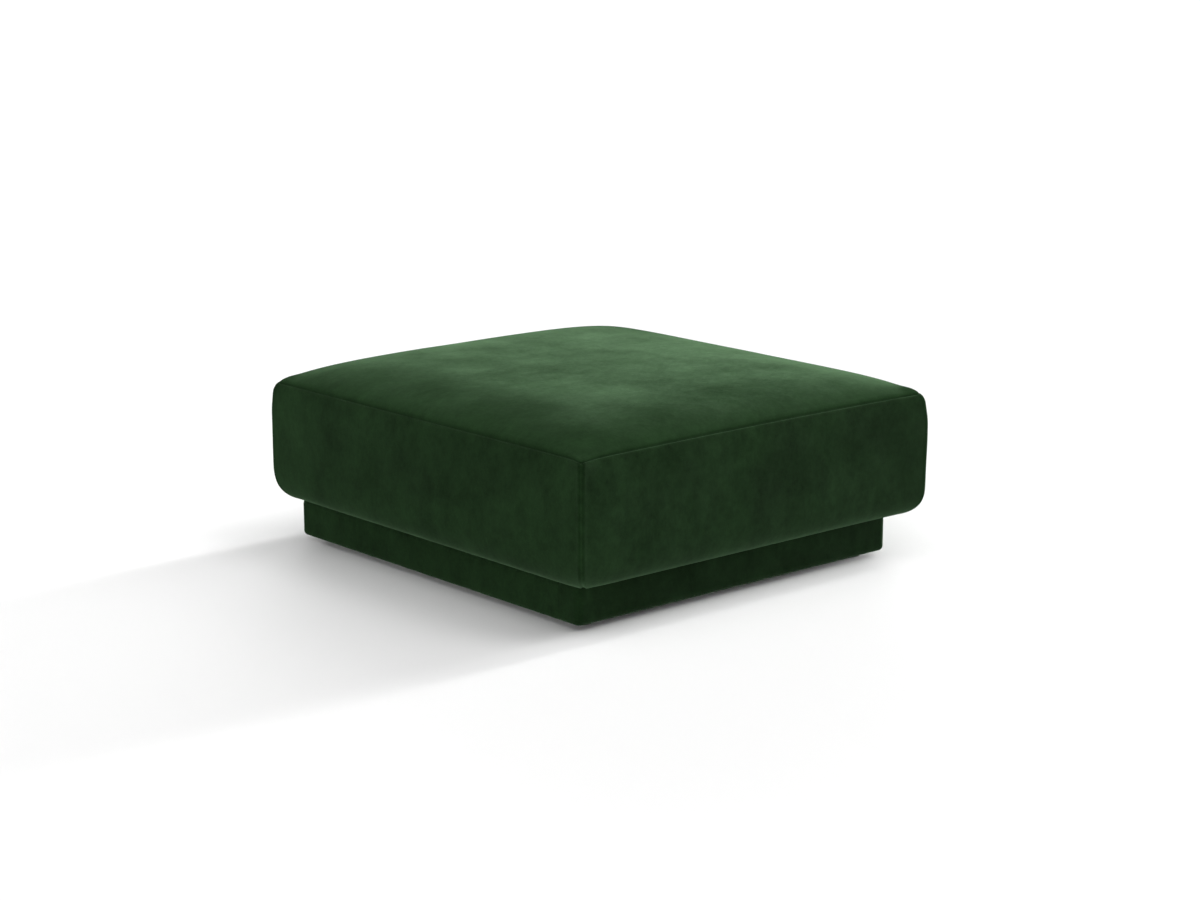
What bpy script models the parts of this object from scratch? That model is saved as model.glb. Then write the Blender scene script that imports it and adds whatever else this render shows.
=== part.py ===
"""A low, nearly square velvet pouf: a thick filled seat on a recessed plinth with four round feet.

Lengths are in metres, +Z is up and the floor is z = 0. The front is -Y and the right is +X.
"""
import math

import bmesh
import bpy

# Overall sizes
SEAT_WIDTH = 1.000          # along X, at the widest part of the side panels
SEAT_DEPTH = 1.066          # along Y, at the widest part of the side panels
FOOT_HEIGHT = 0.0144
PLINTH_HEIGHT = 0.082
SEAM_HEIGHT = 0.3715        # floor to the corners of the seam round the top panel
CROWN_RISE = 0.046          # seam to the top of the crown
GAP = 0.0003                # between pieces that touch

# Seat: plan
CORNER_RADIUS = 0.010       # rounding of each corner, split by its mitre seam
MITRE_DEPTH = 0.0018        # how far the mitre seam draws the corner in
SEAM_RISE = 0.0034          # the top seam is this much higher mid-way along the front and the back
SIDE_STEPS = 14             # faces along one side panel
CORNER_STEPS = 6            # faces round one corner, an even number

# Seat: the side panels' profile, two quarter super-ellipses with a straight between them
UPPER_ROLL_WIDTH = 0.014    # how far the seam lies inside the widest part
UPPER_ROLL_HEIGHT = 0.074
UPPER_ROLL_POWER = 1.95
LOWER_ROLL_WIDTH = 0.079
LOWER_ROLL_HEIGHT = 0.097
LOWER_ROLL_POWER = 3.2
UPPER_ROLL_TURNS = (88, 76, 62, 48, 36, 26, 17, 9)      # degrees round the quarter, from the seam down
LOWER_ROLL_TURNS = (90, 77, 64, 52, 41, 31, 22, 14, 7)  # degrees round the quarter, from the underside up
SEAM_DRAW = 0.0022          # how far the thread draws the top seam in

# Seat: the crown, an arch along X times an arch along Y
CROWN_POWER_X = 4.1
CROWN_ROUNDING_X = 0.46
CROWN_POWER_Y = 7.1
CROWN_ROUNDING_Y = 0.62
CROWN_RINGS = (0.9975, 0.990, 0.977, 0.958, 0.932, 0.898, 0.855, 0.80, 0.73, 0.64, 0.52, 0.38, 0.22, 0.10)

# Plinth: how far its faces lie inside the seat's widest part
PLINTH_INSET_SIDE = 0.053
PLINTH_INSET_FRONT = 0.070
PLINTH_INSET_BACK = 0.035
PLINTH_CORNER_RADIUS = 0.012
PLINTH_EDGE_RADIUS = 0.009
PLINTH_CORNER_SEGMENTS = 5
PLINTH_EDGE_SEGMENTS = 4

# Feet
FOOT_DIAMETER = 0.042
FOOT_RIM_RADIUS = 0.0025    # rounding of the rim that meets the floor
FOOT_INSET = 0.054          # foot's centre to the plinth's two nearest faces
FOOT_SEGMENTS = 32
FOOT_RIM_SEGMENTS = 3

SEAT_UNDERSIDE = FOOT_HEIGHT + PLINTH_HEIGHT + 2 * GAP
PLINTH_BOTTOM = FOOT_HEIGHT + GAP
PLINTH_LEFT = -SEAT_WIDTH / 2 + PLINTH_INSET_SIDE
PLINTH_RIGHT = SEAT_WIDTH / 2 - PLINTH_INSET_SIDE
PLINTH_FRONT = -SEAT_DEPTH / 2 + PLINTH_INSET_FRONT
PLINTH_BACK = SEAT_DEPTH / 2 - PLINTH_INSET_BACK


def clear_scene():
    """Remove every object, so that only the pouf is left."""
    for old in list(bpy.data.objects):
        bpy.data.objects.remove(old, do_unlink=True)


def make_material(name, colour, roughness, metallic=0.0, sheen=0.0):
    """A Principled material with one colour; sheen is for the velvet."""
    material = bpy.data.materials.new(name)
    material.use_nodes = True
    shader = material.node_tree.nodes["Principled BSDF"]
    shader.inputs["Base Color"].default_value = (*colour, 1.0)
    shader.inputs["Roughness"].default_value = roughness
    shader.inputs["Metallic"].default_value = metallic
    shader.inputs["Sheen Weight"].default_value = sheen
    return material


def add_object(name, mesh, material, parent, location=(0.0, 0.0, 0.0)):
    """Put a mesh in the scene as a named piece of the pouf."""
    piece = bpy.data.objects.new(name, mesh)
    bpy.context.scene.collection.objects.link(piece)
    piece.location = location
    piece.parent = parent
    mesh.materials.clear()
    mesh.materials.append(material)
    return piece


def mesh_from_bmesh(name, bm, smooth_angle=50.0):
    """Finish a bmesh as a mesh with outward faces, smooth apart from its sharp edges."""
    bmesh.ops.recalc_face_normals(bm, faces=bm.faces)
    mesh = bpy.data.meshes.new(name)
    bm.to_mesh(mesh)
    bm.free()
    mesh.shade_smooth()
    mesh.set_sharp_from_angle(angle=math.radians(smooth_angle))
    return mesh


# ---------------------------------------------------------------- seat

def plan_loop(inset, mitre_depth=0.0):
    """The seat's outline in plan, `inset` inside its widest part, anticlockwise from the right.

    Each corner is rounded, and a mitre seam draws its middle in by `mitre_depth`.
    """
    half_x = SEAT_WIDTH / 2 - inset
    half_y = SEAT_DEPTH / 2 - inset
    points = []
    for quarter in range(4):
        side_x = (1, -1, -1, 1)[quarter]
        side_y = (1, 1, -1, -1)[quarter]
        centre_x = side_x * (half_x - CORNER_RADIUS)
        centre_y = side_y * (half_y - CORNER_RADIUS)
        for step in range(CORNER_STEPS + 1):
            angle = math.radians(90 * (quarter + step / CORNER_STEPS))
            at_mitre = 2 * step == CORNER_STEPS
            radius = CORNER_RADIUS - (mitre_depth if at_mitre else 0.0)
            points.append((centre_x + radius * math.cos(angle), centre_y + radius * math.sin(angle)))
        along = half_x if quarter % 2 == 0 else half_y
        length = 2 * (along - CORNER_RADIUS)
        heading = math.radians(90 * quarter + 180)
        start_x, start_y = points[-1]
        for step in range(1, SIDE_STEPS):
            reach = length * step / SIDE_STEPS
            points.append((start_x + reach * math.cos(heading), start_y + reach * math.sin(heading)))
    return points


def square_coordinates(x, y):
    """Where a point of the loop lies on the square from -1 to 1 that the loop stands for."""
    u = x / (SEAT_WIDTH / 2)
    v = y / (SEAT_DEPTH / 2)
    larger = max(abs(u), abs(v))
    return u / larger, v / larger


def seam_rise(x, y):
    """How much higher the top seam is here than at the corners: it bows along the front and the back."""
    u, v = square_coordinates(x, y)
    return SEAM_RISE * (1 - u * u) if abs(v) > abs(u) else 0.0


def roll(turn, power):
    """A point of a quarter super-ellipse: its shares of the full width and of the full height."""
    angle = math.radians(turn)
    return math.cos(angle) ** (2 / power), math.sin(angle) ** (2 / power)


def side_ring(inset, height, lift):
    """One ring of the side panels; `lift` is the share of the seam's rise that it takes."""
    return [(x, y, height + lift * seam_rise(x, y)) for x, y in plan_loop(inset, MITRE_DEPTH)]


def side_rings():
    """Rings of the side panels, from the underside's edge up to the top seam."""
    rings = []
    for turn in LOWER_ROLL_TURNS:
        across, down = roll(turn, LOWER_ROLL_POWER)
        inset = LOWER_ROLL_WIDTH * (1 - across)
        height = SEAT_UNDERSIDE + LOWER_ROLL_HEIGHT * (1 - down)
        rings.append(side_ring(inset, height, 0.0))
    rings.append(side_ring(0.0, SEAT_UNDERSIDE + LOWER_ROLL_HEIGHT, 0.0))
    for turn in reversed(UPPER_ROLL_TURNS):
        across, up = roll(turn, UPPER_ROLL_POWER)
        inset = UPPER_ROLL_WIDTH * (1 - across)
        height = SEAM_HEIGHT - UPPER_ROLL_HEIGHT * (1 - up)
        rings.append(side_ring(inset, height, up))
    rings.append(side_ring(UPPER_ROLL_WIDTH + SEAM_DRAW, SEAM_HEIGHT, 1.0))
    return rings


def crown(u, v):
    """Height of the crown above the seam, at -1 to 1 across the top panel."""
    arch_x = (1 - abs(u) ** CROWN_POWER_X) ** CROWN_ROUNDING_X
    arch_y = (1 - abs(v) ** CROWN_POWER_Y) ** CROWN_ROUNDING_Y
    return CROWN_RISE * arch_x * arch_y


def crown_rings():
    """Rings of the top panel, from just inside the seam towards the middle."""
    seam = plan_loop(UPPER_ROLL_WIDTH)
    rings = []
    for share in CROWN_RINGS:
        ring = []
        for x, y in seam:
            u, v = square_coordinates(x, y)
            height = SEAM_HEIGHT + crown(share * u, share * v) + seam_rise(x, y) * share ** 4
            ring.append((share * x, share * y, height))
        rings.append(ring)
    return rings


def loft(bm, rings):
    """Join rings of equal length with faces, and return their vertices."""
    vertices = [[bm.verts.new(point) for point in ring] for ring in rings]
    for lower, upper in zip(vertices, vertices[1:]):
        for here in range(len(lower)):
            after = (here + 1) % len(lower)
            bm.faces.new((lower[here], lower[after], upper[after], upper[here]))
    return vertices


def seat_mesh():
    """The filled seat as one closed solid: underside, side panels and crowned top panel."""
    bm = bmesh.new()
    vertices = loft(bm, side_rings() + crown_rings())
    bm.faces.new(list(reversed(vertices[0])))
    middle = bm.verts.new((0.0, 0.0, SEAM_HEIGHT + CROWN_RISE))
    last = vertices[-1]
    for here in range(len(last)):
        bm.faces.new((last[here], last[(here + 1) % len(last)], middle))
    return mesh_from_bmesh("seat_cushion", bm)


# ---------------------------------------------------------------- plinth

def plinth_mesh():
    """The covered plinth, centred on its own origin: a box with rounded corners and edges."""
    bm = bmesh.new()
    bmesh.ops.create_cube(bm, size=1.0)
    size = (PLINTH_RIGHT - PLINTH_LEFT, PLINTH_BACK - PLINTH_FRONT, PLINTH_HEIGHT)
    bmesh.ops.scale(bm, vec=size, verts=bm.verts)
    upright = [edge for edge in bm.edges if abs(edge.verts[0].co.z - edge.verts[1].co.z) > GAP]
    bmesh.ops.bevel(bm, geom=upright, offset=PLINTH_CORNER_RADIUS, offset_type="OFFSET",
                    segments=PLINTH_CORNER_SEGMENTS, profile=0.5, affect="EDGES")
    level = [edge for edge in bm.edges if abs(edge.verts[0].co.z - edge.verts[1].co.z) < GAP]
    bmesh.ops.bevel(bm, geom=level, offset=PLINTH_EDGE_RADIUS, offset_type="OFFSET",
                    segments=PLINTH_EDGE_SEGMENTS, profile=0.5, affect="EDGES")
    return mesh_from_bmesh("plinth", bm)


# ---------------------------------------------------------------- feet

def foot_mesh():
    """A round foot standing on its own origin: a turned profile with a rounded lower rim."""
    radius = FOOT_DIAMETER / 2
    flat = radius - FOOT_RIM_RADIUS
    profile = [(0.0, 0.0)]
    for step in range(FOOT_RIM_SEGMENTS + 1):
        angle = math.radians(90 * step / FOOT_RIM_SEGMENTS)
        profile.append((flat + FOOT_RIM_RADIUS * math.sin(angle), FOOT_RIM_RADIUS * (1 - math.cos(angle))))
    profile.append((radius, FOOT_HEIGHT))
    profile.append((0.0, FOOT_HEIGHT))
    bm = bmesh.new()
    points = [bm.verts.new((reach, 0.0, height)) for reach, height in profile]
    edges = [bm.edges.new(pair) for pair in zip(points, points[1:])]
    bmesh.ops.spin(bm, geom=points + edges, cent=(0, 0, 0), axis=(0, 0, 1), angle=math.tau,
                   steps=FOOT_SEGMENTS, use_merge=True)
    bmesh.ops.remove_doubles(bm, verts=bm.verts, dist=0.00001)
    return mesh_from_bmesh("foot", bm, smooth_angle=30.0)


def foot_places():
    """Each foot's name and its centre in plan."""
    columns = (("left", PLINTH_LEFT + FOOT_INSET), ("right", PLINTH_RIGHT - FOOT_INSET))
    rows = (("front", PLINTH_FRONT + FOOT_INSET), ("back", PLINTH_BACK - FOOT_INSET))
    return [(f"foot_{row}_{column}", x, y) for row, y in rows for column, x in columns]


def build():
    """Model the whole pouf under one empty."""
    clear_scene()
    pouf = bpy.data.objects.new("pouf", None)
    bpy.context.scene.collection.objects.link(pouf)

    seat_velvet = make_material("seat_velvet", (0.016, 0.052, 0.020), roughness=0.85, sheen=0.6)
    plinth_velvet = make_material("plinth_velvet", (0.012, 0.040, 0.015), roughness=0.85, sheen=0.6)
    black_plastic = make_material("black_plastic", (0.010, 0.010, 0.011), roughness=0.45)

    add_object("seat_cushion", seat_mesh(), seat_velvet, pouf)
    middle_x = (PLINTH_LEFT + PLINTH_RIGHT) / 2
    middle_y = (PLINTH_FRONT + PLINTH_BACK) / 2
    middle_z = PLINTH_BOTTOM + PLINTH_HEIGHT / 2
    add_object("plinth", plinth_mesh(), plinth_velvet, pouf, (middle_x, middle_y, middle_z))
    foot = foot_mesh()
    for name, x, y in foot_places():
        add_object(name, foot, black_plastic, pouf, (x, y, 0.0))


build()
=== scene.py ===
"""The looks of the velvet pouf: seat, plinth, feet, a white studio and the photograph's camera.

Lengths are in metres, +Z is up and the floor is z = 0. The front is -Y and the right is +X.
"""
import math
from types import SimpleNamespace

import bmesh
import bpy
import numpy as np
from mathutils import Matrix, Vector, kdtree, noise


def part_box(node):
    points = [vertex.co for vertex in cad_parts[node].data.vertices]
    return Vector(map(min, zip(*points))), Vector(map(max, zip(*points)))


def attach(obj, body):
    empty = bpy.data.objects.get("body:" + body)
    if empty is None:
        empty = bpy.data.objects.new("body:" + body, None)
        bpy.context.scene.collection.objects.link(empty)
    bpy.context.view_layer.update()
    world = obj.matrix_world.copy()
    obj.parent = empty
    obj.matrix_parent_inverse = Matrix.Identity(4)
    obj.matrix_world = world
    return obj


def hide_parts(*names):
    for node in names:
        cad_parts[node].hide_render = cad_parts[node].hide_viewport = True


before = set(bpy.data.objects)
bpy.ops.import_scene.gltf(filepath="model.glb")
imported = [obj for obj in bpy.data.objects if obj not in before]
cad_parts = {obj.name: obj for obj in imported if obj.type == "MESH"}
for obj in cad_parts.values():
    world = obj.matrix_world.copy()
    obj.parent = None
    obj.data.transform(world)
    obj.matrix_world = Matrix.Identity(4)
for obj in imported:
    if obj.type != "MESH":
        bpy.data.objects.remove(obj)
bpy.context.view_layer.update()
SEAT_LOW, SEAT_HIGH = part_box("seat_cushion")

# Seat: section of the side panels, two quarter super-ellipses with a straight between them
UPPER_ROLL_WIDTH = 0.014
UPPER_ROLL_HEIGHT = 0.074
UPPER_ROLL_POWER = 1.95
LOWER_ROLL_WIDTH = 0.079
LOWER_ROLL_HEIGHT = 0.097
LOWER_ROLL_POWER = 3.2
ROLL_SAMPLES = 400          # points that a roll's length is measured over

# Seat: plan. Its outer sizes come from the frame, and the rest is as in the CAD model.
HALF_X = (SEAT_HIGH.x - SEAT_LOW.x) / 2
HALF_Y = (SEAT_HIGH.y - SEAT_LOW.y) / 2
SEAM_X = HALF_X - UPPER_ROLL_WIDTH      # half sizes of the top seam
SEAM_Y = HALF_Y - UPPER_ROLL_WIDTH
CORNER_RADIUS = 0.010

# Seat: the top seam's height
CROWN_RISE = 0.046          # seam to the top of the crown
SEAM_HEIGHT = SEAT_HIGH.z - CROWN_RISE
SEAM_RISE = 0.0034          # the seam is this much higher mid-way along the front and the back
SEAM_DROPS = (0.0030, 0.0022, 0.0065)   # it is lower at the front left, front right and back left
DROP_FADE = 30              # how soon the drops die out along the back and the right side
CORNER_DIP = 0.0025         # and lower again by this right at the front left corner
CORNER_DIP_REACH = 0.012

# Seat: crown, an arch along X times an arch along Y
CROWN_POWER_X = 4.1
CROWN_ROUNDING_X = 0.46
CROWN_POWER_Y = 7.1
CROWN_ROUNDING_Y = 0.62
BOW_POWER = 4               # how soon the seam's rise dies out towards the middle of the top
DROP_POWER = 16             # and how soon its drops do
CROWN_SWELLS = (
    # places where the filling is pushed up into a corner of the crown: X, Y and rise
    (0.474, -0.506, 0.0052),
    (-0.473, 0.506, 0.0042),
)
SWELL_REACH = 0.024
SWELL_POWER = 56            # how late the swells die out towards the seam

# Seat: places where a corner is filled out more, or less, than the form
FULL_CORNERS = (
    # name, signs of X and Y, height, reach across, spread along Z, how far the cloth stands out
    ("front left, at the seam", (-1, -1), SEAM_HEIGHT, 0.026, 0.030, 0.0060),
    ("front right, below the seam", (1, -1), SEAM_HEIGHT - 0.016, 0.026, 0.012, 0.0014),
    ("back left, below the seam", (-1, 1), SEAM_HEIGHT - 0.021, 0.026, 0.015, 0.0018),
    ("back right, below the seam", (1, 1), SEAM_HEIGHT - 0.018, 0.026, 0.014, 0.0022),
    ("front right, half-way up", (1, -1), 0.28, 0.070, 0.080, 0.0018),
    ("front right, low", (1, -1), 0.12, 0.110, 0.036, 0.0036),
    ("front left, turned under", (-1, -1), SEAT_LOW.z, 0.046, 0.030, -0.0075),
)

# Seat: spacing of the mesh, fine beside the seams
FINE_STEP = 0.0007
STEP_GROWTH = 1.13
COARSE_STEP = 0.0058

# Seat: cloth simulation on a coarser mesh of the same form
CLOTH_STEP = 0.013
CLOTH_GROWTH = 1.3
CLOTH_FRAMES = 12
CLOTH_QUALITY = 5
CLOTH_PRESSURE = 4.0
CLOTH_BENDING = 10.0
FOAM_HOLD = (0.22, 0.42)    # how firmly the softest and firmest filling hold the cover; sewn is 1
FOAM_SCALE = 6.0            # softer and firmer places, per metre
FOAM_NOISE = (1.0, 2.0, 3)  # finer layers of them: how each fades, how much finer, how many
FOAM_SPREAD = 0.6           # the noise that sets them runs from minus this to plus this
FINE_ROUNDS = 6             # rounds of averaging that take out the mesh's own ripples
BROAD_ROUNDS = 120          # rounds that leave only the whole panel's swelling, which the form has
CLOTH_CAP = 0.0010          # furthest that a point may move
CLOTH_BLUR = 0.008          # the coarse mesh's movement is spread over this to reach the fine one
CLOTH_NEAREST = 16          # and comes from this many of its points
CLOTH_HELD = 0.018          # seams and underside hold the cover still for about this far
ON_SEAM = 1e-6              # a point this near a seam is on it

# Seams: the valley that the thread draws in, and the cloth that swells beside it
TOP_SEAM_DEPTH = 0.0022
TOP_SEAM_WIDTH = 0.0017
MITRE_PLACE = 0.0034        # the mitre seams have a valley this far away on each side of the join
MITRE_DEPTH = 0.0006
MITRE_WIDTH = 0.0012
VALLEY_POWER = 1.5          # 1 is a valley with a sharp bottom and 2 one with a round bottom
NOTCH_DEPTH = 0.0028        # the mitre seams are gathered in where they turn under
NOTCH_WIDTH = 0.0035
NOTCH_HEIGHT = 0.030
SHOULDER_RISE = 0.0004
SHOULDER_PLACE = 0.0060
SHOULDER_WIDTH = 0.0035

# Plinth
COVER_DROP = 0.0023         # its cover is pulled under, over the tops of the feet
PLINTH_CORNER_RADIUS = 0.014
PLINTH_EDGE_RADIUS = 0.011
PLINTH_STEP = 0.008
PLINTH_GROWTH = 1.3
PLINTH_CORNER_STEPS = 4     # finest spacings in the radius of the flat top's corners
PLINTH_EDGE_POINTS = 8      # levels round each edge, both ends included
PLINTH_WALL_POINTS = 12     # levels down the wall, both ends included

# Feet
FOOT_SEGMENTS = 72
FOOT_RIM_RADIUS = 0.0025
FOOT_RIM_SEGMENTS = 5
FOOT_SHARP_ANGLE = 30       # degrees from which an edge is shaded sharp

# Camera: found by fitting the model's outline to the photograph's
CAMERA_PLACE = (-3.5883, -4.1258, 1.4869)
CAMERA_ELEVATION = 12.975   # degrees that it looks down
CAMERA_AZIMUTH = -41.125    # degrees it is turned from looking along +Y
CAMERA_LENS = 76.04         # millimetres
CAMERA_SENSOR = 36.0        # millimetres across

# Stage
STAGE_RADIUS = 55.0
FLOOR_SEGMENTS = 128
BACKDROP_SUBDIVISIONS = 4
FLOOR_COLOUR = (0.8, 0.8, 0.8, 1.0)
WHITE = (1.0, 1.0, 1.0, 1.0)
BLACK = (0.0, 0.0, 0.0, 1.0)

# Light: soft sources. Azimuth is from +X towards +Y. The share is what the source adds to the open
# floor's brightness, where 1 is the light of an even white sky.
LIGHTS = (
    # name, azimuth, elevation, spread across, spread up (all in degrees), share
    ("strip on the right", -1, 39, 1.4, 8, 0.144),
    ("low strip on the right", -1, 1, 1.4, 4.5, 0.169),
    ("low at the back right", 53, 8, 11, 6, 0.180),
    ("high at the front", 306, 56, 10, 10, 0.371),
    ("high on the left", 193, 68, 18, 18, 0.434),
    ("low beside the camera", 210, 8, 11, 6, 0.111),
)
SKY_STEP = 0.5              # degrees between the directions that a source's light is added up over

# Velvet
GROUND_COLOUR = (0.0060, 0.0156, 0.0053)
SHEEN_WEIGHT = 0.093
SHEEN_ROUGHNESS = 0.478
SHEEN_TINT = (0.59, 1.0, 0.57, 1.0)
CLOUD_SCALE = 8.0           # clouds in the ground colour, per metre
CLOUD_DETAIL = 7.0
CLOUD_ROUGHNESS = 0.93
CLOUD_STRETCH = (1.0, 1.0, 0.75)    # clouds are drawn out downwards, as the pile is brushed
CLOUD_GAIN = 16.0           # brings the noise's own spread to about 1
LEAN_SCALE = 9.0            # clouds in the pile's lean, per metre
LEAN_DETAIL = 6.0
LEAN_ROUGHNESS = 0.92
PILE_SCALE = 420.0          # tufts, per metre
PILE_DETAIL = 1.0
PILE_ROUGHNESS = 0.5
PILE_HEIGHT = 0.00005
NOISE_MIDDLE = 0.5          # average of a noise texture

# Black plastic of the feet
PLASTIC_COLOUR = (0.010, 0.010, 0.011, 1.0)
PLASTIC_ROUGHNESS = 0.38    # where it isn't scuffed
SCUFF_ROUGHNESS = 0.25      # what scuffs add to it
SCUFF_NOISE = (160.0, 4.0, 0.6)     # features per metre, detail, roughness of the noise itself
GRAIN_NOISE = (1800.0, 2.0, 0.5)
GRAIN_HEIGHT = 0.00003

# Ground colour: the top panel and the plinth against the seat's sides, and how strongly clouds
# show. The top panel's ground is painted lighter than the sides', painted light on the top.
TOP_PAINTED_LIGHT = 1.5
PLINTH_GROUND = 0.95
TOP_CLOUDS = 0.12
SIDE_CLOUDS = 0.185
SIDE_STROKES = (
    # lighter and darker places on the sides, mostly tone and some of them painted light and shade:
    # name, centre, reach along X, Y and Z, strength
    # a painted highlight along the left face's far end
    ("left, far end, painted highlight", (-0.50, 0.50, 0.28), (0.05, 0.09, 0.10), 0.18),
    ("left, back", (-0.50, 0.34, 0.27), (0.05, 0.05, 0.06), -0.14),
    ("left, back streak", (-0.50, 0.17, 0.32), (0.05, 0.06, 0.04), 0.12),
    ("left, middle", (-0.50, 0.03, 0.27), (0.05, 0.08, 0.05), -0.13),
    ("left, low", (-0.50, -0.05, 0.19), (0.05, 0.05, 0.03), 0.16),
    ("left, front", (-0.50, -0.26, 0.32), (0.05, 0.10, 0.04), -0.10),
    ("left, corner", (-0.50, -0.48, 0.31), (0.05, 0.03, 0.04), 0.25),
    ("front, corner", (-0.42, -0.53, 0.29), (0.06, 0.05, 0.06), 0.12),
    ("front, left", (-0.23, -0.53, 0.33), (0.06, 0.05, 0.04), -0.16),
    ("front, light streak", (-0.10, -0.53, 0.33), (0.07, 0.05, 0.025), 0.15),
    ("front, middle", (0.06, -0.53, 0.25), (0.10, 0.05, 0.05), -0.26),
    ("front, right low", (0.24, -0.53, 0.22), (0.07, 0.05, 0.04), 0.16),
    ("front, right", (0.33, -0.53, 0.30), (0.08, 0.05, 0.07), -0.24),
    ("front, far end", (0.46, -0.53, 0.22), (0.08, 0.05, 0.10), -0.22),
    ("left, low by the corner", (-0.50, -0.40, 0.18), (0.05, 0.10, 0.06), 0.10),
    # painted light on the plinth's lit left side beside the front corner
    ("plinth, left side by the corner, painted light", (-0.45, -0.42, 0.05), (0.02, 0.14, 0.05), 0.34),
    # painted shade on the plinth's front, under the seat's overhang
    ("plinth, front, painted shade", (0.10, -0.46, 0.05), (0.60, 0.02, 0.10), -0.26),
)

# Lean of the pile: it tilts the shading, so that the sheen comes and goes as on stroked velvet
TOP_LEAN_CLOUDS = 0.30
SIDE_LEAN_CLOUDS = 0.29
STROKE_WAY = (0.66, 0.75, 0.0)      # the way the top has been brushed, towards the back right
TOP_STROKES = (
    # name, centre, reach along X and Y, degrees that the pile leans that way
    ("right of the middle", (0.22, 0.00), (0.08, 0.16), 1.9),
    ("right, nearer the front", (0.09, -0.12), (0.07, 0.09), 1.1),
    ("back, right of the middle", (0.10, 0.24), (0.10, 0.06), 1.2),
    ("back, right", (0.24, 0.26), (0.05, 0.07), 0.9),
    ("back, middle", (-0.06, 0.38), (0.15, 0.05), 1.6),
    ("back, left", (-0.29, 0.39), (0.05, 0.04), 1.3),
    ("middle hollow", (-0.15, 0.01), (0.10, 0.05), -1.1),
    ("middle, left ridge", (-0.20, 0.14), (0.08, 0.05), 0.5),
    ("dark spot", (0.17, -0.03), (0.017, 0.014), -1.1),
    ("left edge, back", (-0.40, 0.25), (0.05, 0.06), -2.0),
    ("left edge, middle", (-0.40, 0.07), (0.05, 0.06), -4.6),
    ("left edge, front", (-0.43, -0.21), (0.06, 0.10), -6.2),
    ("left of the front ridge", (-0.34, -0.13), (0.04, 0.10), -1.6),
    ("front left ridge", (-0.24, -0.26), (0.09, 0.04), 1.1),
    ("left edge, by the corner", (-0.45, -0.42), (0.04, 0.06), -3.6),
    ("front, left", (-0.21, -0.43), (0.08, 0.05), -3.8),
    ("front, middle", (0.02, -0.38), (0.08, 0.06), -4.2),
    ("in front of the middle", (-0.02, -0.26), (0.04, 0.06), -1.7),
    ("front right streak", (0.28, -0.24), (0.08, 0.035), -2.3),
    ("front edge, right", (0.27, -0.42), (0.14, 0.05), -1.3),
    ("right edge", (0.37, -0.06), (0.03, 0.04), -1.9),
    ("back right corner", (0.48, 0.46), (0.10, 0.20), -10.0),
    ("back edge, right", (0.26, 0.52), (0.10, 0.07), -2.0),
    ("right edge, front", (0.50, -0.28), (0.04, 0.22), -3.6),
    ("right tip", (0.485, -0.515), (0.028, 0.028), -9.0),
    ("near corner", (-0.44, -0.48), (0.07, 0.07), -1.6),
)

# Edges of the strokes wander: by so many turns per metre, and so far
DRIFT_SCALE = 7.0
DRIFT = 0.030
RIPPLE_SCALE = 24.0
RIPPLE = 0.014
WANDER_SEED = 1             # they wander the same way in each run

# Beside the top seam: the top panel's edge turns outwards and its ground colour carries painted
# shade, the side panel's turns up
EDGE_WIDTH = 0.0014
EDGE_LEAN = 0.32
EDGE_SHADE = 0.28
LIP_PLACE = 0.0036
LIP_WIDTH = 0.0015
LIP_LEAN = 0.28
LIP_FADE = 0.025            # the side panel's edge lies flat nearer than this to a corner

# At the mitre seams, painted into the ground colour: a painted highlight along the ridge, a thin
# line of painted shade on each side, and soft painted shade further out
RIDGE_WIDTH = 0.0025
RIDGE_PAINTED_HIGHLIGHT = 0.25
LINE_WIDTH = 0.0010
LINE_SHADE = 0.16
HOLLOW_WIDTH = 0.014
HOLLOW_SHADE = 0.06

# Under the seat's lower edge the pile hangs down
HANG_LEAN = 0.14
HANG_HEIGHT = 0.022

TINY = 1e-9                 # keeps divisions and powers away from 0


# ---------------------------------------------------------------- helpers

def add_piece(name, mesh, material):
    """Put a mesh of the pouf in the scene, riding on its one body."""
    piece = bpy.data.objects.new(name, mesh)
    bpy.context.scene.collection.objects.link(piece)
    mesh.materials.clear()
    mesh.materials.append(material)
    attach(piece, "root")
    return piece


def mesh_from_arrays(name, vertices, faces):
    """A smooth-shaded mesh from an array of points and a list of faces."""
    mesh = bpy.data.meshes.new(name)
    mesh.from_pydata([tuple(point) for point in vertices], [], faces)
    mesh.validate()
    mesh.shade_smooth()
    return mesh


def add_attribute(mesh, name, values):
    """Store a number or a vector for each vertex, for a material to read."""
    if np.ndim(values) == 2:
        attribute = mesh.attributes.new(name, "FLOAT_VECTOR", "POINT")
        attribute.data.foreach_set("vector", np.ravel(values))
    else:
        attribute = mesh.attributes.new(name, "FLOAT", "POINT")
        spread = np.broadcast_to(values, len(mesh.vertices)).astype(np.float32)
        attribute.data.foreach_set("value", spread)


def vertex_normals(mesh):
    """Unit normals of a mesh's vertices."""
    normals = np.zeros(len(mesh.vertices) * 3, np.float32)
    mesh.vertex_normals.foreach_get("vector", normals)
    return normals.reshape(-1, 3).astype(float)


def bell(distance, place, width):
    """1 at a place, falling off over a width on both sides."""
    return np.exp(-((distance - place) / width) ** 2)


def graded(length, fine, growth, coarse):
    """Places from 0 to `length`, `fine` apart at both ends and about `coarse` apart in between."""
    near = [0.0]
    step = fine
    while step < coarse and near[-1] + step < length / 2 - coarse:
        near.append(near[-1] + step)
        step *= growth
    middle = length - 2 * near[-1]
    count = max(1, round(middle / coarse))
    inner = [near[-1] + middle * index / count for index in range(1, count)]
    return np.array(near + inner + [length - place for place in reversed(near)])


# ---------------------------------------------------------------- rounded blocks

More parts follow.
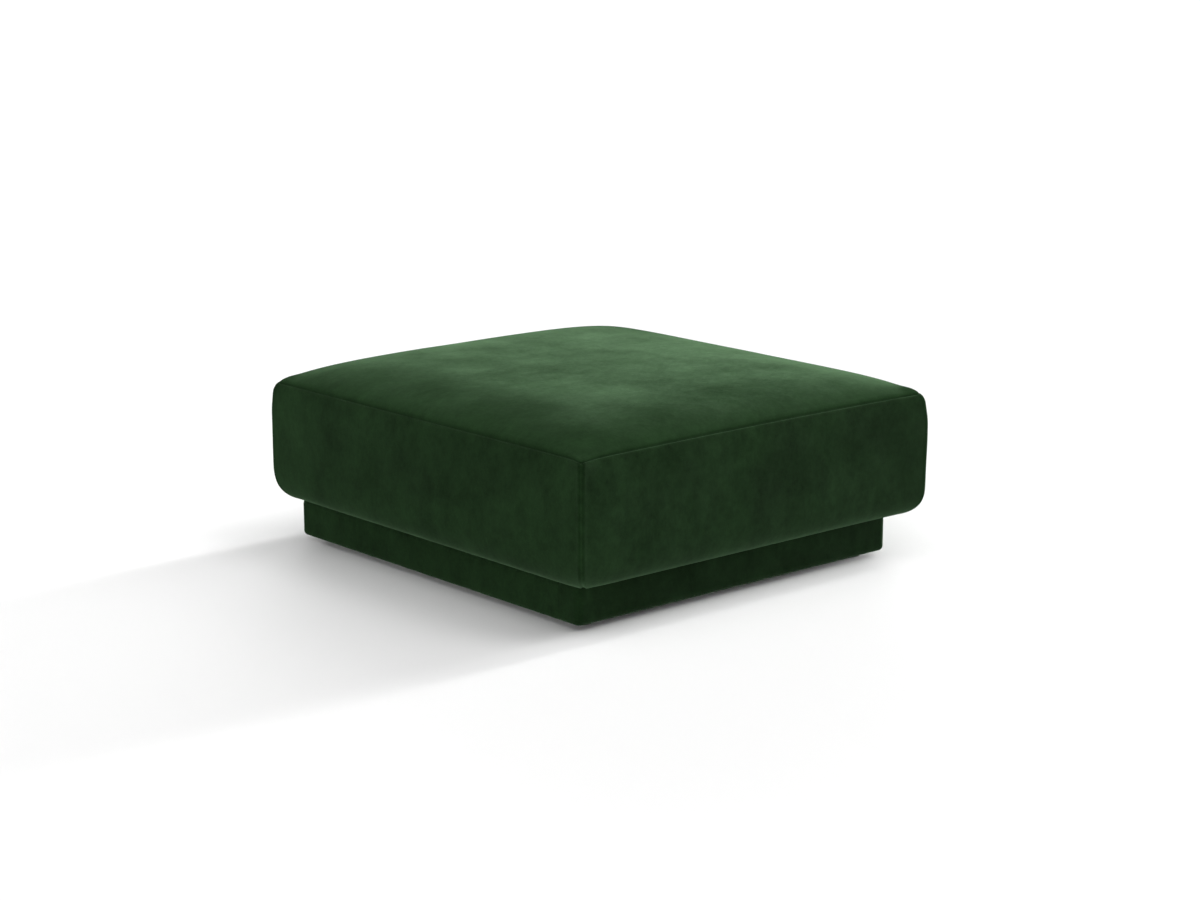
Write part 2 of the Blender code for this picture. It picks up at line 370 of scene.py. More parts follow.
def round_corner(x, y, half_x, half_y, radius):
    """Pull the points of a rectangle's corners in, so that its outline has corners of a radius."""
    over_x = np.clip(np.abs(x) - (half_x - radius), 0, None)
    over_y = np.clip(np.abs(y) - (half_y - radius), 0, None)
    pulled_x = over_x * np.sqrt(1 - (over_y / radius) ** 2 / 2)
    pulled_y = over_y * np.sqrt(1 - (over_x / radius) ** 2 / 2)
    return x + np.sign(x) * (pulled_x - over_x), y + np.sign(y) * (pulled_y - over_y)


def stretched(values, half, radius, new_half, new_radius):
    """Places along a side, moved to a side with another half length and other corner radii."""
    inner = half - radius
    over = np.clip(np.abs(values) - inner, 0, None)
    along = np.minimum(np.abs(values), inner) / inner
    return np.sign(values) * (along * (new_half - new_radius) + over / radius * new_radius)


def outline_order(columns, rows):
    """Lattice places (column, row) round the edge of a grid, anticlockwise from the front left."""
    last_column, last_row = columns - 1, rows - 1
    front = [(column, 0) for column in range(last_column)]
    right = [(last_column, row) for row in range(last_row)]
    back = [(column, last_row) for column in range(last_column, 0, -1)]
    left = [(0, row) for row in range(last_row, 0, -1)]
    return np.array([row * columns + column for column, row in front + right + back + left])


def block_faces(columns, rows, rings):
    """Faces of a closed block: a top grid, a wall of `rings` levels below it, one flat underside.

    Vertices are numbered top grid first and then each ring downwards.
    """
    faces = []
    for row in range(rows - 1):
        for column in range(columns - 1):
            corner = row * columns + column
            faces.append((corner, corner + 1, corner + columns + 1, corner + columns))
    edge = outline_order(columns, rows)
    levels = [edge]
    for ring in range(rings):
        levels.append(columns * rows + ring * len(edge) + np.arange(len(edge)))
    for upper, lower in zip(levels, levels[1:]):
        corners = [upper, lower, np.roll(lower, -1), np.roll(upper, -1)]
        faces.extend(np.column_stack(corners).tolist())
    faces.append(levels[-1][::-1].tolist())
    return faces


# ---------------------------------------------------------------- seat: form

def square_coordinates(x, y):
    """Where points of an outline lie on the square from -1 to 1 that the outline stands for."""
    u, v = x / HALF_X, y / HALF_Y
    larger = np.maximum(np.maximum(np.abs(u), np.abs(v)), TINY)
    return u / larger, v / larger


def seam_bow(x, y):
    """How far the top seam rises from its usual height along the front and the back."""
    u, v = square_coordinates(x, y)
    return np.where(np.abs(v) > np.abs(u), SEAM_RISE * (1 - u * u), 0.0)


def seam_drop(x, y):
    """How far the top seam is pulled down from there, mostly at the corners."""
    u, v = square_coordinates(x, y)
    to_right, to_back = (1 + u) / 2, (1 + v) / 2
    front_left, front_right, back_left = SEAM_DROPS
    drop = front_left * (1 - to_right) * (1 - to_back)
    drop += front_right * to_right * (1 - to_back) ** DROP_FADE
    drop += back_left * to_back * (1 - to_right) ** DROP_FADE
    from_corner = np.hypot((1 + u) * HALF_X, (1 + v) * HALF_Y)
    return drop + CORNER_DIP * np.exp(-from_corner / CORNER_DIP_REACH)


def crown(u, v):
    """Height of the crown above the seam, at -1 to 1 across the top panel."""
    arch_x = np.clip(1 - np.abs(u) ** CROWN_POWER_X, 0, 1) ** CROWN_ROUNDING_X
    arch_y = np.clip(1 - np.abs(v) ** CROWN_POWER_Y, 0, 1) ** CROWN_ROUNDING_Y
    return CROWN_RISE * arch_x * arch_y


def top_height(x, y):
    """Height of the top panel at places of a rectangle the size of its seam."""
    share = np.maximum(np.abs(x) / SEAM_X, np.abs(y) / SEAM_Y)
    height = (SEAM_HEIGHT + crown(x / SEAM_X, y / SEAM_Y)
              + seam_bow(x, y) * share ** BOW_POWER
              - seam_drop(x, y) * share ** DROP_POWER)
    for swell_x, swell_y, swell_rise in CROWN_SWELLS:
        from_swell = np.hypot(x - swell_x, y - swell_y)
        height += swell_rise * bell(from_swell, 0, SWELL_REACH) * (1 - share ** SWELL_POWER)
    return height


def roll(turn, power):
    """Points of a quarter super-ellipse: their shares of the full width and of the full height."""
    return np.cos(turn) ** (2 / power), np.sin(turn) ** (2 / power)


def side_profile():
    """The side panel's section from the seam down: inset, height and share of the seam's rise."""
    turns = np.linspace(math.pi / 2, 0, ROLL_SAMPLES) * (1 - TINY)
    across, up = roll(turns, UPPER_ROLL_POWER)
    upper = [UPPER_ROLL_WIDTH * (1 - across), SEAM_HEIGHT - UPPER_ROLL_HEIGHT * (1 - up), up]
    turns = np.linspace(0, math.pi / 2, ROLL_SAMPLES) * (1 - TINY)
    across, down = roll(turns, LOWER_ROLL_POWER)
    lower = [LOWER_ROLL_WIDTH * (1 - across), SEAT_LOW.z + LOWER_ROLL_HEIGHT * (1 - down), 0 * down]
    return [np.concatenate(pair) for pair in zip(upper, lower)]


def side_rings(fine, growth, coarse):
    """The side panel's section at the mesh's spacing, with each ring's distance from the seam."""
    inset, height, lift = side_profile()
    travelled = np.concatenate([[0], np.cumsum(np.hypot(np.diff(inset), np.diff(height)))])
    places = graded(travelled[-1] * 2, fine, growth, coarse)
    places = places[places < travelled[-1] - coarse / 2][1:]
    places = np.append(places, travelled[-1])
    return [np.interp(places, travelled, values) for values in (inset, height, lift)] + [places]


def with_full_corners(points):
    """The points, pushed outwards or inwards where a corner is fuller or slacker than the form."""
    push = np.zeros_like(points)
    for name, sides, height, reach, spread, distance in FULL_CORNERS:
        corner = np.array([SEAM_X, SEAM_Y]) * sides
        from_corner = np.linalg.norm(points[:, :2] - corner, axis=1)
        weight = bell(from_corner, 0, reach) * bell(points[:, 2], height, spread)
        push[:, :2] += distance * weight[:, None] * np.array(sides)
    return points + push


def seat_form(fine, growth, coarse):
    """The seat's smooth form: its points and faces, and which points belong to the top panel.

    Each point also has its distance from the top seam and from the nearest mitre seam.
    """
    line_x = graded(2 * SEAM_X, fine, growth, coarse) - SEAM_X
    line_y = graded(2 * SEAM_Y, fine, growth, coarse) - SEAM_Y
    grid_x, grid_y = (axis.ravel() for axis in np.meshgrid(line_x, line_y))
    x, y = round_corner(grid_x, grid_y, SEAM_X, SEAM_Y, CORNER_RADIUS)
    points = [np.column_stack([x, y, top_height(grid_x, grid_y)])]
    from_seam = [np.minimum(SEAM_X - np.abs(grid_x), SEAM_Y - np.abs(grid_y))]
    from_mitre = [np.full(len(x), np.inf)]

    edge = outline_order(len(line_x), len(line_y))
    edge_x, edge_y = grid_x[edge], grid_y[edge]
    rise = seam_bow(edge_x, edge_y) - seam_drop(edge_x, edge_y)
    for inset, level, lift, travelled in zip(*side_rings(fine, growth, coarse)):
        half_x, half_y = HALF_X - inset, HALF_Y - inset
        ring_x = stretched(edge_x, SEAM_X, CORNER_RADIUS, half_x, CORNER_RADIUS)
        ring_y = stretched(edge_y, SEAM_Y, CORNER_RADIUS, half_y, CORNER_RADIUS)
        x, y = round_corner(ring_x, ring_y, half_x, half_y, CORNER_RADIUS)
        points.append(np.column_stack([x, y, level + lift * rise]))
        from_seam.append(np.full(len(edge), travelled))
        from_mitre.append(np.hypot(half_x - np.abs(ring_x), half_y - np.abs(ring_y)))
    faces = block_faces(len(line_x), len(line_y), len(points) - 1)
    points = with_full_corners(np.concatenate(points))
    return SimpleNamespace(points=points, faces=faces, on_top=np.arange(len(points)) < len(grid_x),
                           from_seam=np.concatenate(from_seam),
                           from_mitre=np.concatenate(from_mitre))


# ---------------------------------------------------------------- seat: cloth

def cover_hold(form):
    """How firmly the cover is held at each point: by the filling, or 1 where sewn or underneath."""
    places = [Vector(point) * FOAM_SCALE for point in form.points]
    firmness = [noise.fractal(place, *FOAM_NOISE) for place in places]
    hold = np.interp(firmness, (-FOAM_SPREAD, FOAM_SPREAD), FOAM_HOLD)
    under = form.points[:, 2] < SEAT_LOW.z + CLOTH_STEP / 2
    hold[(form.from_seam < ON_SEAM) | (form.from_mitre < ON_SEAM) | under] = 1.0
    return hold


def simulate_cover():
    """Blow the cover up as cloth, sewn down at its seams and held unevenly by the filling.

    Returns its points, how far each moved, and its edges.
    """
    form = seat_form(CLOTH_STEP / 2, CLOTH_GROWTH, CLOTH_STEP)
    mesh = mesh_from_arrays("cloth_form", form.points, form.faces)
    cloth_piece = bpy.data.objects.new("cloth_form", mesh)
    bpy.context.scene.collection.objects.link(cloth_piece)
    pins = cloth_piece.vertex_groups.new(name="sewn")
    for index, weight in enumerate(cover_hold(form).tolist()):
        pins.add([index], weight, "REPLACE")
    cloth = cloth_piece.modifiers.new("cloth", "CLOTH")
    cloth.settings.quality = CLOTH_QUALITY
    cloth.settings.vertex_group_mass = "sewn"
    cloth.settings.use_pressure = True
    cloth.settings.uniform_pressure_force = CLOTH_PRESSURE
    cloth.settings.bending_stiffness = CLOTH_BENDING
    cloth.settings.effector_weights.gravity = 0.0
    cloth.collision_settings.use_collision = False
    for frame_number in range(1, CLOTH_FRAMES + 1):
        bpy.context.scene.frame_set(frame_number)
    evaluated = cloth_piece.evaluated_get(bpy.context.evaluated_depsgraph_get())
    blown = np.zeros(len(form.points) * 3, np.float32)
    evaluated.data.vertices.foreach_get("co", blown)
    edges = np.zeros(len(mesh.edges) * 2, np.int32)
    mesh.edges.foreach_get("vertices", edges)
    bpy.context.scene.frame_set(1)
    bpy.data.objects.remove(cloth_piece)
    bpy.data.meshes.remove(mesh)
    return form.points, blown.reshape(-1, 3) - form.points, edges.reshape(-1, 2)


def evened(values, edges, rounds):
    """Average each point's values with its neighbours' again and again."""
    neighbours = np.bincount(edges.ravel(), minlength=len(values))[:, None]
    for _ in range(rounds):
        total = np.zeros_like(values)
        np.add.at(total, edges[:, 0], values[edges[:, 1]])
        np.add.at(total, edges[:, 1], values[edges[:, 0]])
        values = (values + total / neighbours) / 2
    return values


def cover_undulation(form):
    """How far the simulated cover lies from the smooth form at each of the form's points."""
    points, moved, edges = simulate_cover()
    moved = evened(moved, edges, FINE_ROUNDS)
    moved = moved - evened(moved, edges, BROAD_ROUNDS)
    length = np.maximum(np.linalg.norm(moved, axis=1)[:, None], TINY)
    moved *= CLOTH_CAP * np.tanh(length / CLOTH_CAP) / length
    tree = kdtree.KDTree(len(points))
    for index, point in enumerate(points):
        tree.insert(point, index)
    tree.balance()
    offset = np.zeros_like(form.points)
    for row, point in enumerate(form.points):
        nearest = tree.find_n(point, CLOTH_NEAREST)
        shares = np.exp([-(away / CLOTH_BLUR) ** 2 / 2 for place, index, away in nearest])
        offset[row] = shares @ moved[[index for place, index, away in nearest]] / shares.sum()
    from_held = np.minimum(np.minimum(form.from_seam, form.from_mitre),
                           form.points[:, 2] - SEAT_LOW.z)
    return offset * (1 - bell(from_held, 0, CLOTH_HELD))[:, None]


# ---------------------------------------------------------------- seat: seams and mesh

def valley(distance, depth, width):
    """Height of a sewn valley at a distance from its seam, with the cloth swelling beside it."""
    drawn = depth * np.exp(-np.abs(distance / width) ** VALLEY_POWER)
    return SHOULDER_RISE * bell(distance, SHOULDER_PLACE, SHOULDER_WIDTH) - drawn


def wandering(points):
    """The points, moved about by smooth noise: a patch drawn over them has a wandering edge."""
    noise.seed_set(WANDER_SEED)
    drift = [noise.noise_vector(place * DRIFT_SCALE) for place in map(Vector, points)]
    ripple = [noise.noise_vector(place * RIPPLE_SCALE) for place in map(Vector, points)]
    return points + np.array(drift) * DRIFT + np.array(ripple) * RIPPLE


def patch(points, centre, reach):
    """A soft patch: 1 at its centre, fading out over its reach."""
    axes = len(centre)
    return np.exp(-np.sum(((points[:, :axes] - centre) / reach) ** 2, axis=1) / 2)


def side_tone_and_painted_light(points):
    """How much lighter the ground colour is at each point of the sides than on average: tone, and
    painted light and shade.
    """
    moved = wandering(points)
    return sum(strength * patch(moved, centre, reach)
               for name, centre, reach, strength in SIDE_STROKES)


def seat_ground(form):
    """How light the ground colour is at each point, where 1 is the sides' average: tone that
    varies, painted light on the top panel, painted shade along the seams and a painted highlight on
    the mitre ridges.
    """
    ground = np.where(form.on_top, TOP_PAINTED_LIGHT, 1 + side_tone_and_painted_light(form.points))
    # painted shade in the top seam's crease
    ground *= 1 - EDGE_SHADE * bell(form.from_seam, 0, EDGE_WIDTH)
    # painted highlight on the mitre ridge, painted shade on its two lines and its hollow
    ground *= 1 + RIDGE_PAINTED_HIGHLIGHT * bell(form.from_mitre, 0, RIDGE_WIDTH)
    ground *= 1 - LINE_SHADE * bell(form.from_mitre, MITRE_PLACE, LINE_WIDTH)
    return ground * (1 - HOLLOW_SHADE * bell(form.from_mitre, 0, HOLLOW_WIDTH))


def pile_lean(form):
    """Which way and how far the pile leans at each point: a vector that is added to the normal."""
    moved = wandering(form.points)
    degrees = np.zeros(len(moved))
    for name, centre, reach, strength in TOP_STROKES:
        degrees += strength * patch(moved, centre, reach) * form.on_top
    stroked = np.tan(np.radians(degrees))[:, None] * np.array(STROKE_WAY)
    u, v = square_coordinates(form.points[:, 0], form.points[:, 1])
    outwards = np.column_stack([np.where(np.abs(u) >= np.abs(v), np.sign(u), 0),
                                np.where(np.abs(v) >= np.abs(u), np.sign(v), 0), 0 * u])
    edge = EDGE_LEAN * bell(form.from_seam, 0, EDGE_WIDTH) * form.on_top
    lip = LIP_LEAN * bell(form.from_seam, LIP_PLACE, LIP_WIDTH) * ~form.on_top
    lip *= 1 - bell(form.from_mitre, 0, LIP_FADE)
    hanging = HANG_LEAN * bell(form.points[:, 2], SEAT_LOW.z, HANG_HEIGHT)
    upwards = (lip - hanging)[:, None] * np.array([0.0, 0.0, 1.0])
    return stroked + edge[:, None] * outwards + upwards


def seat_mesh():
    """The filled seat: crowned top panel, rolled side panels, sewn seams and a flat underside."""
    form = seat_form(FINE_STEP, STEP_GROWTH, COARSE_STEP)
    smooth = mesh_from_arrays("seat_form", form.points, form.faces)
    normals = vertex_normals(smooth)
    bpy.data.meshes.remove(smooth)
    offset = valley(form.from_seam, TOP_SEAM_DEPTH, TOP_SEAM_WIDTH)
    offset += valley(form.from_mitre - MITRE_PLACE, MITRE_DEPTH, MITRE_WIDTH)
    offset -= (NOTCH_DEPTH * bell(form.from_mitre, 0, NOTCH_WIDTH)
               * bell(form.points[:, 2], SEAT_LOW.z, NOTCH_HEIGHT))
    points = form.points + normals * offset[:, None]
    points += cover_undulation(form)
    points[:, 2] = np.maximum(points[:, 2], SEAT_LOW.z)     # it lies flat on the plinth
    mesh = mesh_from_arrays("seat_velvet_cover", points, form.faces)
    # the ground attribute holds tone together with painted light and painted shade
    add_attribute(mesh, "ground", seat_ground(form))
    add_attribute(mesh, "ground_clouds", np.where(form.on_top, TOP_CLOUDS, SIDE_CLOUDS))
    add_attribute(mesh, "lean_clouds", np.where(form.on_top, TOP_LEAN_CLOUDS, SIDE_LEAN_CLOUDS))
    add_attribute(mesh, "lean", pile_lean(form))
    return mesh


# ---------------------------------------------------------------- plinth

def plinth_profile(half_height):
    """The plinth's section from below its flat top to its underside: insets and heights."""
    upper = [(PLINTH_EDGE_RADIUS * (1 - math.sin(turn)),
              half_height - PLINTH_EDGE_RADIUS * (1 - math.cos(turn)))
             for turn in np.radians(np.linspace(0, 90, PLINTH_EDGE_POINTS))]
    straight = half_height - PLINTH_EDGE_RADIUS
    wall = [(0.0, height) for height in np.linspace(straight, -straight, PLINTH_WALL_POINTS)[1:-1]]
    lower = [(inset, -height) for inset, height in reversed(upper)]
    return upper[1:] + wall + lower


def plinth_mesh():
    """The covered plinth: a block with rounded corners and edges."""
    low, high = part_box("plinth")
    low.z -= COVER_DROP
    centre, half = (low + high) / 2, (high - low) / 2
    flat_x, flat_y = half.x - PLINTH_EDGE_RADIUS, half.y - PLINTH_EDGE_RADIUS
    flat_radius = PLINTH_CORNER_RADIUS - PLINTH_EDGE_RADIUS
    spacing = (flat_radius / PLINTH_CORNER_STEPS, PLINTH_GROWTH, PLINTH_STEP)
    line_x = graded(2 * flat_x, *spacing) - flat_x
    line_y = graded(2 * flat_y, *spacing) - flat_y
    grid_x, grid_y = (axis.ravel() for axis in np.meshgrid(line_x, line_y))
    edge = outline_order(len(line_x), len(line_y))
    x, y = round_corner(grid_x, grid_y, flat_x, flat_y, flat_radius)
    points = [np.column_stack([x, y, np.full(len(x), half.z)])]
    for inset, height in plinth_profile(half.z):
        half_x, half_y = half.x - inset, half.y - inset
        radius = PLINTH_CORNER_RADIUS - inset
        ring_x = stretched(grid_x[edge], flat_x, flat_radius, half_x, radius)
        ring_y = stretched(grid_y[edge], flat_y, flat_radius, half_y, radius)
        x, y = round_corner(ring_x, ring_y, half_x, half_y, radius)
        points.append(np.column_stack([x, y, np.full(len(edge), height)]))
    faces = block_faces(len(line_x), len(line_y), len(points) - 1)
    points = np.concatenate(points) + np.array(centre)
    mesh = mesh_from_arrays("plinth_velvet_cover", points, faces)
    # the plinth's ground holds tone, painted light on its left side by the corner and painted shade
    # on its front
    add_attribute(mesh, "ground", PLINTH_GROUND + side_tone_and_painted_light(points))
    add_attribute(mesh, "ground_clouds", SIDE_CLOUDS)
    add_attribute(mesh, "lean_clouds", SIDE_LEAN_CLOUDS)
    add_attribute(mesh, "lean", np.zeros((len(mesh.vertices), 3)))
    return mesh


# ---------------------------------------------------------------- feet

def foot_profile(low, high, radius):
    """A foot's outline from its flat underside to its top: distances from its axis and heights."""
    flat = radius - FOOT_RIM_RADIUS
    profile = []
    for step in range(FOOT_RIM_SEGMENTS + 1):
        angle = math.radians(90 * step / FOOT_RIM_SEGMENTS)
        profile.append((flat + FOOT_RIM_RADIUS * math.sin(angle),
                        low + FOOT_RIM_RADIUS * (1 - math.cos(angle))))
    return profile + [(radius, high)]


def foot_mesh(name, node):
    """A round foot in place of a CAD foot: a turned profile with a rounded lower rim."""
    low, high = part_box(node)
    high.z -= COVER_DROP
    centre = (low + high) / 2
    profile = foot_profile(low.z, high.z, (high.x - low.x) / 2)
    points = []
    for reach, height in profile:
        for segment in range(FOOT_SEGMENTS):
            turn = math.tau * segment / FOOT_SEGMENTS
            points.append((centre.x + reach * math.cos(turn), centre.y + reach * math.sin(turn),
                           height))
    under, over = len(points), len(points) + 1
    points += [(centre.x, centre.y, low.z), (centre.x, centre.y, high.z)]
    faces = []
    top_ring = (len(profile) - 1) * FOOT_SEGMENTS
    for segment in range(FOOT_SEGMENTS):
        following = (segment + 1) % FOOT_SEGMENTS
        faces.append((under, following, segment))
        for ring in range(0, top_ring, FOOT_SEGMENTS):
            above = ring + FOOT_SEGMENTS
            faces.append((ring + segment, ring + following, above + following, above + segment))
        faces.append((top_ring + segment, top_ring + following, over))
    mesh = mesh_from_arrays(name, points, faces)
    mesh.set_sharp_from_angle(angle=math.radians(FOOT_SHARP_ANGLE))
    return mesh


# ---------------------------------------------------------------- materials

def new_material(name):
    """A node material with a Principled shader: the material, its node tree and the shader."""
    material = bpy.data.materials.new(name)
    material.use_nodes = True
    return material, material.node_tree, material.node_tree.nodes["Principled BSDF"]


def math_node(tree, operation, *values):
    """Add a Math node whose inputs are numbers or other nodes' outputs, and return its output."""
    node = tree.nodes.new("ShaderNodeMath")
    node.operation = operation
    for socket, value in zip(node.inputs, values):
        if isinstance(value, (int, float)):
            socket.default_value = value
        else:
            tree.links.new(value, socket)
    return node.outputs["Value"]


def vector_node(tree, operation, *values):
    """Add a Vector Math node whose inputs are vectors or nodes' outputs, and return its output."""
    node = tree.nodes.new("ShaderNodeVectorMath")
    node.operation = operation
    for socket, value in zip(node.inputs, values):
        if isinstance(value, tuple):
            socket.default_value = value
        else:
            tree.links.new(value, socket)
    return node.outputs["Value" if operation == "DOT_PRODUCT" else "Vector"]


def noise_node(tree, coordinates, scale, detail, roughness):
    """Add fractal noise with that many features per metre, and return the node."""
    node = tree.nodes.new("ShaderNodeTexNoise")
    tree.links.new(coordinates, node.inputs["Vector"])
    node.inputs["Scale"].default_value = scale
    node.inputs["Detail"].default_value = detail
    node.inputs["Roughness"].default_value = roughness
    return node


def bump_node(tree, height, distance):
    """Add a Bump node that raises the surface by up to a distance, and return the node."""
    node = tree.nodes.new("ShaderNodeBump")
    node.inputs["Distance"].default_value = distance
    tree.links.new(height, node.inputs["Height"])
    return node


def attribute_node(tree, name):
    """Add a node that reads what add_attribute stored, and return it."""
    node = tree.nodes.new("ShaderNodeAttribute")
    node.attribute_name = name
    return node


def ground_nodes(tree, place):
    """The ground colour, clouded where the pile is denser or more worn, and scaled by each vertex's
    ground, which holds painted light and shade.
    """
    drawn = vector_node(tree, "MULTIPLY", place, CLOUD_STRETCH)
    clouds = noise_node(tree, drawn, CLOUD_SCALE, CLOUD_DETAIL, CLOUD_ROUGHNESS).outputs["Fac"]
    clouds = math_node(tree, "SUBTRACT", clouds, NOISE_MIDDLE)
    clouds = math_node(tree, "MULTIPLY", clouds, CLOUD_GAIN)
    strength = attribute_node(tree, "ground_clouds").outputs["Fac"]
    shade = math_node(tree, "MULTIPLY_ADD", clouds, strength, 1.0)
    shade = math_node(tree, "MULTIPLY", shade, attribute_node(tree, "ground").outputs["Fac"])
    shade = math_node(tree, "MAXIMUM", shade, 0.0)
    return vector_node(tree, "MULTIPLY", shade, GROUND_COLOUR)


def pile_nodes(tree, place):
    """The normal for the pile's sheen: it leans in strokes and clouds, and is broken into tufts."""
    clouds = noise_node(tree, place, LEAN_SCALE, LEAN_DETAIL, LEAN_ROUGHNESS).outputs["Color"]
    clouds = vector_node(tree, "SUBTRACT", clouds, (NOISE_MIDDLE, NOISE_MIDDLE, NOISE_MIDDLE))
    strength = attribute_node(tree, "lean_clouds").outputs["Fac"]
    clouds = vector_node(tree, "MULTIPLY", clouds, strength)
    lean = vector_node(tree, "ADD", clouds, attribute_node(tree, "lean").outputs["Vector"])
    surface = tree.nodes.new("ShaderNodeNewGeometry").outputs["Normal"]
    leaning = vector_node(tree, "NORMALIZE", vector_node(tree, "ADD", surface, lean))
    tufts = noise_node(tree, place, PILE_SCALE, PILE_DETAIL, PILE_ROUGHNESS).outputs["Fac"]
    bump = bump_node(tree, tufts, PILE_HEIGHT)
    tree.links.new(leaning, bump.inputs["Normal"])
    return bump.outputs["Normal"]


def velvet(name):
    """Short-pile velvet: a dark ground under a sheen that comes and goes with the pile's lean."""
    material, tree, shader = new_material(name)
    place = tree.nodes.new("ShaderNodeTexCoord").outputs["Object"]
    tree.links.new(ground_nodes(tree, place), shader.inputs["Base Color"])
    tree.links.new(pile_nodes(tree, place), shader.inputs["Normal"])
    shader.inputs["Roughness"].default_value = 1.0
    shader.inputs["Specular IOR Level"].default_value = 0.0
    shader.inputs["Sheen Weight"].default_value = SHEEN_WEIGHT
    shader.inputs["Sheen Roughness"].default_value = SHEEN_ROUGHNESS
    shader.inputs["Sheen Tint"].default_value = SHEEN_TINT
    return material


def black_plastic(name):
    """Matt black moulded plastic, with a fine grain and faint scuffs."""
    material, tree, shader = new_material(name)
    place = tree.nodes.new("ShaderNodeTexCoord").outputs["Object"]
    scuffs = noise_node(tree, place, *SCUFF_NOISE).outputs["Fac"]
    roughness = math_node(tree, "MULTIPLY_ADD", scuffs, SCUFF_ROUGHNESS, PLASTIC_ROUGHNESS)
    tree.links.new(roughness, shader.inputs["Roughness"])
    grain = bump_node(tree, noise_node(tree, place, *GRAIN_NOISE).outputs["Fac"], GRAIN_HEIGHT)
    tree.links.new(grain.outputs["Normal"], shader.inputs["Normal"])
    shader.inputs["Base Color"].default_value = PLASTIC_COLOUR
    return material


# ---------------------------------------------------------------- stage

def add_stage(name, bm, material):
    """Put a piece of the studio, built in a bmesh, in the scene."""
    mesh = bpy.data.meshes.new(name)
    bm.to_mesh(mesh)
    bm.free()
    mesh.materials.append(material)
    piece = bpy.data.objects.new(name, mesh)
    bpy.context.scene.collection.objects.link(piece)
    return piece


def make_floor():
    """A white floor that reaches out of sight."""
    bm = bmesh.new()
    bmesh.ops.create_circle(bm, cap_ends=True, radius=STAGE_RADIUS, segments=FLOOR_SEGMENTS)
    material, _, shader = new_material("floor_white")
    shader.inputs["Base Color"].default_value = FLOOR_COLOUR
    shader.inputs["Roughness"].default_value = 1.0
    shader.inputs["Specular IOR Level"].default_value = 0.0
    add_stage("floor", bm, material)


def make_backdrop():
    """A white dome that only the camera sees, so that every view has a white background."""
    bm = bmesh.new()
    bmesh.ops.create_icosphere(bm, subdivisions=BACKDROP_SUBDIVISIONS, radius=STAGE_RADIUS)
    material, _, shader = new_material("backdrop_white")
    shader.inputs["Base Color"].default_value = BLACK
    shader.inputs["Specular IOR Level"].default_value = 0.0
    shader.inputs["Emission Color"].default_value = WHITE
    shader.inputs["Emission Strength"].default_value = 1.0
    backdrop = add_stage("backdrop", bm, material)
    backdrop.visible_diffuse = False
    backdrop.visible_glossy = False
    backdrop.visible_transmission = False
    backdrop.visible_shadow = False


def source_axes(azimuth, elevation):
    """Unit vectors across a source, up it and towards it, from its place in degrees."""
    turn, rise = math.radians(azimuth), math.radians(elevation)
    across = np.array([-math.sin(turn), math.cos(turn), 0.0])
    towards = np.array([math.cos(turn) * math.cos(rise), math.sin(turn) * math.cos(rise),
                        math.sin(rise)])
    return across, np.cross(towards, across), towards


def source_radiance(axes, widths, share):
    """Brightness at a source's middle that gives the open floor a share of a white sky's light."""
    turns = np.radians(np.arange(0, 360, SKY_STEP))
    rises = np.radians(np.arange(SKY_STEP / 2, 90, SKY_STEP))
    turn, rise = (axis.ravel() for axis in np.meshgrid(turns, rises))
    sky = np.column_stack([np.cos(turn) * np.cos(rise), np.sin(turn) * np.cos(rise), np.sin(rise)])
    across, up, towards = (sky @ axis for axis in axes)
    glow = np.exp(-(across / widths[0]) ** 2 / 2 - (up / widths[1]) ** 2 / 2) * (towards > 0)
    cell = math.radians(SKY_STEP) ** 2 * np.cos(rise)
    return share * math.pi / float(np.sum(glow * np.sin(rise) * cell))


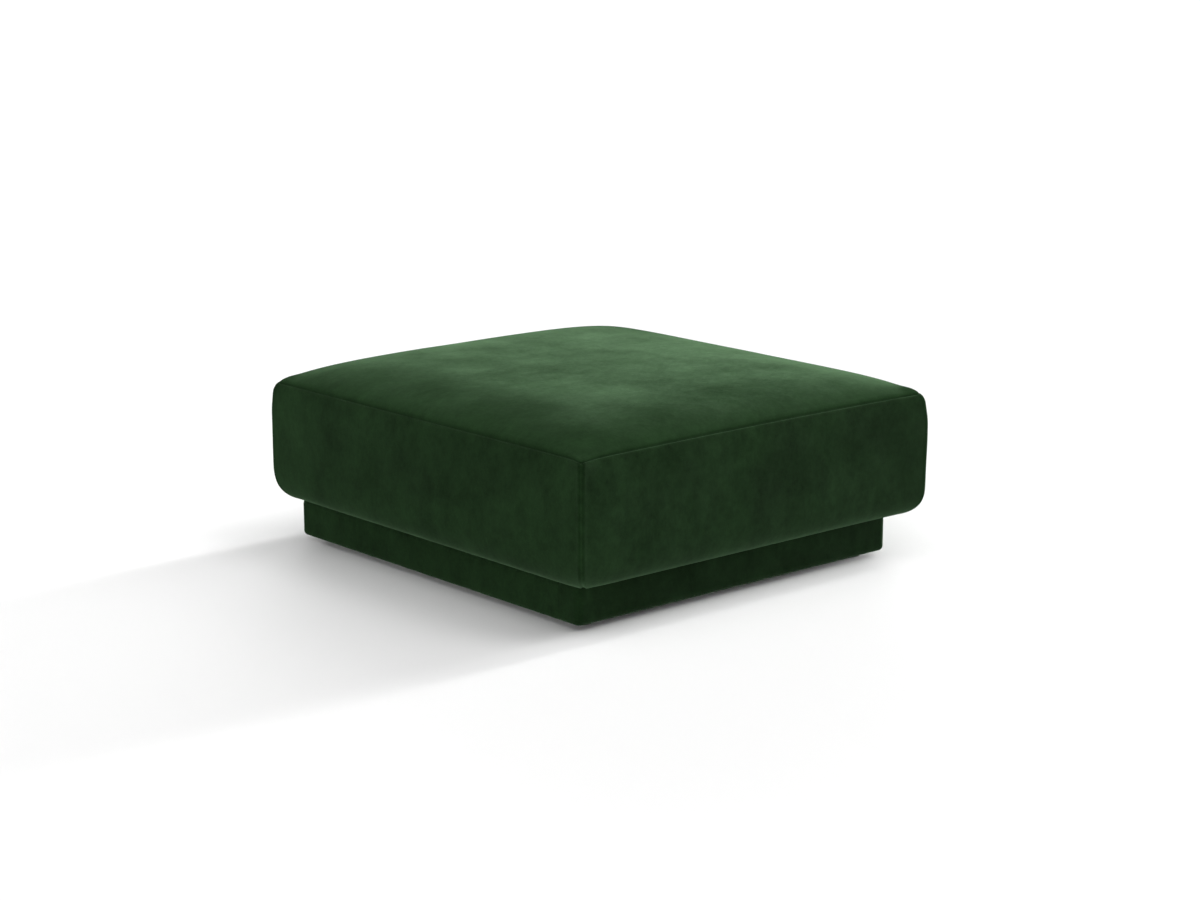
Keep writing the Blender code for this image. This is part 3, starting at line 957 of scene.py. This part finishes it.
def make_world():
    """The studio's soft sources, drawn by direction on a dark dome."""
    world = bpy.data.worlds.new("studio")
    world.use_nodes = True
    tree = world.node_tree
    sky = tree.nodes.new("ShaderNodeTexCoord").outputs["Generated"]
    total = 0.0
    for name, azimuth, elevation, spread_across, spread_up, share in LIGHTS:
        axes = source_axes(azimuth, elevation)
        widths = math.sin(math.radians(spread_across)), math.sin(math.radians(spread_up))
        across, up, towards = (vector_node(tree, "DOT_PRODUCT", sky, tuple(axis)) for axis in axes)
        across_squared = math_node(tree, "MULTIPLY", across, across)
        up_squared = math_node(tree, "MULTIPLY", up, up)
        fall = math_node(tree, "MULTIPLY", across_squared, -0.5 / widths[0] ** 2)
        fall = math_node(tree, "MULTIPLY_ADD", up_squared, -0.5 / widths[1] ** 2, fall)
        on_this_side = math_node(tree, "GREATER_THAN", towards, 0.0)
        glow = math_node(tree, "MULTIPLY", math_node(tree, "EXPONENT", fall), on_this_side)
        brightness = source_radiance(axes, widths, share)
        total = math_node(tree, "MULTIPLY_ADD", glow, brightness, total)
    background = tree.nodes["Background"]
    background.inputs["Color"].default_value = WHITE
    tree.links.new(total, background.inputs["Strength"])
    bpy.context.scene.world = world


def make_camera():
    """The photograph's camera."""
    data = bpy.data.cameras.new("camera")
    data.sensor_width = CAMERA_SENSOR
    data.sensor_fit = "HORIZONTAL"
    data.lens = CAMERA_LENS
    data.clip_end = 4 * STAGE_RADIUS
    camera = bpy.data.objects.new("camera", data)
    camera.location = CAMERA_PLACE
    camera.rotation_euler = (math.radians(90 - CAMERA_ELEVATION), 0.0, math.radians(CAMERA_AZIMUTH))
    bpy.context.scene.collection.objects.link(camera)
    bpy.context.scene.camera = camera
    bpy.context.scene.view_settings.view_transform = "Standard"


# ---------------------------------------------------------------- build

seat_velvet = velvet("velvet_seat")
plinth_velvet = velvet("velvet_plinth")
foot_plastic = black_plastic("plastic_feet")

seat = add_piece("seat_cover", seat_mesh(), seat_velvet)
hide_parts("seat_cushion")

plinth = add_piece("plinth_cover", plinth_mesh(), plinth_velvet)
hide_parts("plinth")

for node in sorted(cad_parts):
    if node.startswith("foot_"):
        name = node.replace("foot", "glide")
        foot = add_piece(name, foot_mesh(name, node), foot_plastic)
        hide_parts(node)

make_floor()
make_backdrop()
make_world()
make_camera()
